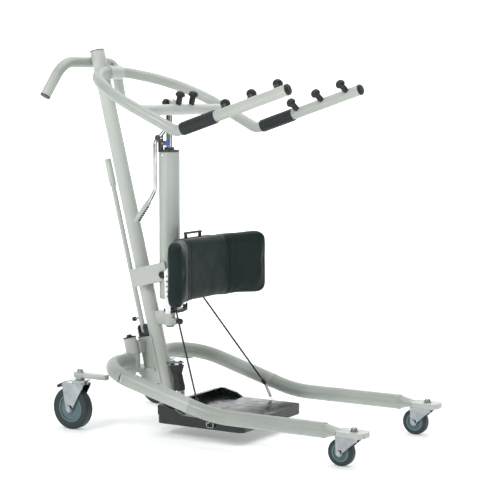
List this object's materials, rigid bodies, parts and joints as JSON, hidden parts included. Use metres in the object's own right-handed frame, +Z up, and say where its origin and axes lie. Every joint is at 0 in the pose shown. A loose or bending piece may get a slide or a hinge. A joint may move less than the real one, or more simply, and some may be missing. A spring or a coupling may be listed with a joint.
{
  "type": "sit to stand lift",
  "caption": "Sit-to-stand patient lift: leaning mast on opening castor legs, hand-pumped ram, wishbone lifting arms with sling pegs, curved knee pad on cords, foot plate.",
  "frame": {"origin": "on the floor, at the middle of the lift's length and width, with the arms lowest and the legs closed", "axes": "+X forward to the open ends of the legs, +Y to the lift's left, +Z up"},
  "size_m": [1.1182, 0.525, 1.1318],
  "materials": {
    "sage_paint": "satin powder coat",
    "cylinder_paint": "satin powder coat",
    "bright_zinc": "bright zinc plate",
    "chrome_plate": "polished",
    "black_plastic": "moulded",
    "dark_steel": "blackened",
    "brass_fitting": "machined",
    "blue_plastic": "moulded",
    "sage_plastic": "moulded",
    "sage_rod": "satin powder coat",
    "grip_rubber": "ribbed",
    "pad_cover": "coated upholstery cloth over foam",
    "cord_black": "smooth",
    "hub_plastic": "moulded",
    "tyre_rubber": "solid tread"
  },
  "bodies": {
    "base": {"mast": "sage_paint", "push_handle": "sage_paint", "tube_plugs": "black_plastic", "arm_pivot_sleeve": "sage_paint", "pump_bracket": "sage_paint", "frame_hardware": "bright_zinc", "mast_socket": "sage_paint", "pivot_bolts": "bright_zinc", "housing_caps": "black_plastic", "foot_frame": "sage_paint", "foot_latch": "black_plastic", "foot_plate": "black_plastic", "foot_plate_fittings": "bright_zinc", "knee_socket": "sage_paint", "pump_cylinder": "cylinder_paint", "pump_head": "dark_steel", "release_valve": "brass_fitting", "left_cord": "cord_black", "right_cord": "cord_black", "cord_ends": "chrome_plate", "shift_clevis": "dark_steel"},
    "left_leg_body": {"left_leg": "sage_paint", "left_leg_front": "sage_paint", "left_outrigger": "sage_paint", "left_castor_bolts": "bright_zinc"},
    "right_leg_body": {"right_leg": "sage_paint", "right_leg_front": "sage_paint", "right_outrigger": "sage_paint", "right_castor_bolts": "bright_zinc"},
    "arms": {"lifting_arms": "sage_paint", "crossbar": "sage_paint", "sling_pegs": "black_plastic", "arm_grips": "grip_rubber", "arm_caps": "black_plastic", "lug_bolts": "black_plastic"},
    "ram": {"ram_rod": "chrome_plate"},
    "pump_lever": {"pump_handle": "chrome_plate", "handle_grip": "sage_plastic"},
    "release": {"release_knob": "blue_plastic"},
    "shift_lever": {"shift_rod": "sage_rod", "shift_grip": "sage_plastic"},
    "knee_slider": {"knee_carriage": "black_plastic", "knee_straps": "chrome_plate"},
    "knee_rest": {"pad_board": "black_plastic", "knee_pad": "pad_cover"},
    "clamp": {"clamp_knob": "black_plastic"},
    "left_front_castor": {"left_front_fork": "bright_zinc"},
    "left_front_wheel": {"left_front_hub": "hub_plastic", "left_front_tyre": "tyre_rubber"},
    "left_rear_castor": {"left_rear_fork": "bright_zinc"},
    "left_rear_wheel": {"left_rear_hub": "hub_plastic", "left_rear_tyre": "tyre_rubber"},
    "left_brake": {"left_brake_tab": "black_plastic"},
    "right_front_castor": {"right_front_fork": "bright_zinc"},
    "right_front_wheel": {"right_front_hub": "hub_plastic", "right_front_tyre": "tyre_rubber"},
    "right_rear_castor": {"right_rear_fork": "bright_zinc"},
    "right_rear_wheel": {"right_rear_hub": "hub_plastic", "right_rear_tyre": "tyre_rubber"},
    "right_brake": {"right_brake_tab": "black_plastic"}
  },
  "joints": [
    {"name": "arm_lift", "type": "hinge", "parent": "base", "child": "arms", "pos_m": [-0.43, 0, 1.059], "axis": [0, -1, 0], "range_deg": [0, 48]},
    {"name": "ram_slide", "type": "slide", "parent": "base", "child": "ram", "axis": [0, 0, 1], "range_m": [0, 0.1807]},
    {"name": "left_leg_swing", "type": "hinge", "parent": "base", "child": "left_leg_body", "pos_m": [-0.323, 0.066, 0.19], "axis": [0, 0, 1], "range_deg": [0, 15]},
    {"name": "right_leg_swing", "type": "hinge", "parent": "base", "child": "right_leg_body", "pos_m": [-0.323, -0.066, 0.19], "axis": [0, 0, 1], "range_deg": [-15, 0]},
    {"name": "shift_lever_swing", "type": "hinge", "parent": "base", "child": "shift_lever", "pos_m": [-0.32714, 0, 0.28012], "axis": [-0.9701, 0, -0.2426], "range_deg": [0, 30]},
    {"name": "pump_handle_swing", "type": "hinge", "parent": "base", "child": "pump_lever", "pos_m": [-0.24, -0.038, 0.864], "axis": [0, 1, 0], "range_deg": [0, 60]},
    {"name": "release_turn", "type": "hinge", "parent": "base", "child": "release", "pos_m": [-0.2327, -0.0185, 0.848], "axis": [1, 0, 0], "range_deg": [-90, 90]},
    {"name": "knee_height", "type": "slide", "parent": "base", "child": "knee_slider", "axis": [0, 0, 1], "range_m": [0, 0.02], "deforming": ["left_cord", "right_cord"]},
    {"name": "knee_pad_tilt", "type": "hinge", "parent": "knee_slider", "child": "knee_rest", "pos_m": [-0.168, 0, 0.47], "axis": [0, 1, 0], "range_deg": [-12, 6]},
    {"name": "clamp_turn", "type": "hinge", "parent": "base", "child": "clamp", "pos_m": [-0.2, 0, 0.312], "axis": [1, 0, 0], "range_deg": [-180, 180]},
    {"name": "left_front_swivel", "type": "hinge", "parent": "left_leg_body", "child": "left_front_castor", "pos_m": [0.52, 0.232, 0.08], "axis": [0, 0, 1], "continuous": true},
    {"name": "left_front_roll", "type": "hinge", "parent": "left_front_castor", "child": "left_front_wheel", "pos_m": [0.483, 0.232, 0.038], "axis": [0, 1, 0], "continuous": true},
    {"name": "left_rear_swivel", "type": "hinge", "parent": "left_leg_body", "child": "left_rear_castor", "pos_m": [-0.398, 0.226, 0.08], "axis": [0, 0, 1], "continuous": true},
    {"name": "left_rear_roll", "type": "hinge", "parent": "left_rear_castor", "child": "left_rear_wheel", "pos_m": [-0.426, 0.226, 0.0635], "axis": [0, 1, 0], "continuous": true},
    {"name": "left_brake_press", "type": "hinge", "parent": "left_rear_castor", "child": "left_brake", "pos_m": [-0.446, 0.226, 0.135], "axis": [0, -1, 0], "range_deg": [0, 6]},
    {"name": "right_front_swivel", "type": "hinge", "parent": "right_leg_body", "child": "right_front_castor", "pos_m": [0.52, -0.232, 0.08], "axis": [0, 0, 1], "continuous": true},
    {"name": "right_front_roll", "type": "hinge", "parent": "right_front_castor", "child": "right_front_wheel", "pos_m": [0.483, -0.232, 0.038], "axis": [0, 1, 0], "continuous": true},
    {"name": "right_rear_swivel", "type": "hinge", "parent": "right_leg_body", "child": "right_rear_castor", "pos_m": [-0.398, -0.226, 0.08], "axis": [0, 0, 1], "continuous": true},
    {"name": "right_rear_roll", "type": "hinge", "parent": "right_rear_castor", "child": "right_rear_wheel", "pos_m": [-0.426, -0.226, 0.0635], "axis": [0, 1, 0], "continuous": true},
    {"name": "right_brake_press", "type": "hinge", "parent": "right_rear_castor", "child": "right_brake", "pos_m": [-0.446, -0.226, 0.135], "axis": [0, -1, 0], "range_deg": [0, 6]}
  ],
  "couplings": [
    {"joint": "ram_slide", "follows": "arm_lift", "m_per_rad": 0.21513},
    {"joint": "right_leg_swing", "follows": "left_leg_swing", "ratio": -1},
    {"joint": "shift_lever_swing", "follows": "left_leg_swing", "ratio": 2}
  ]
}
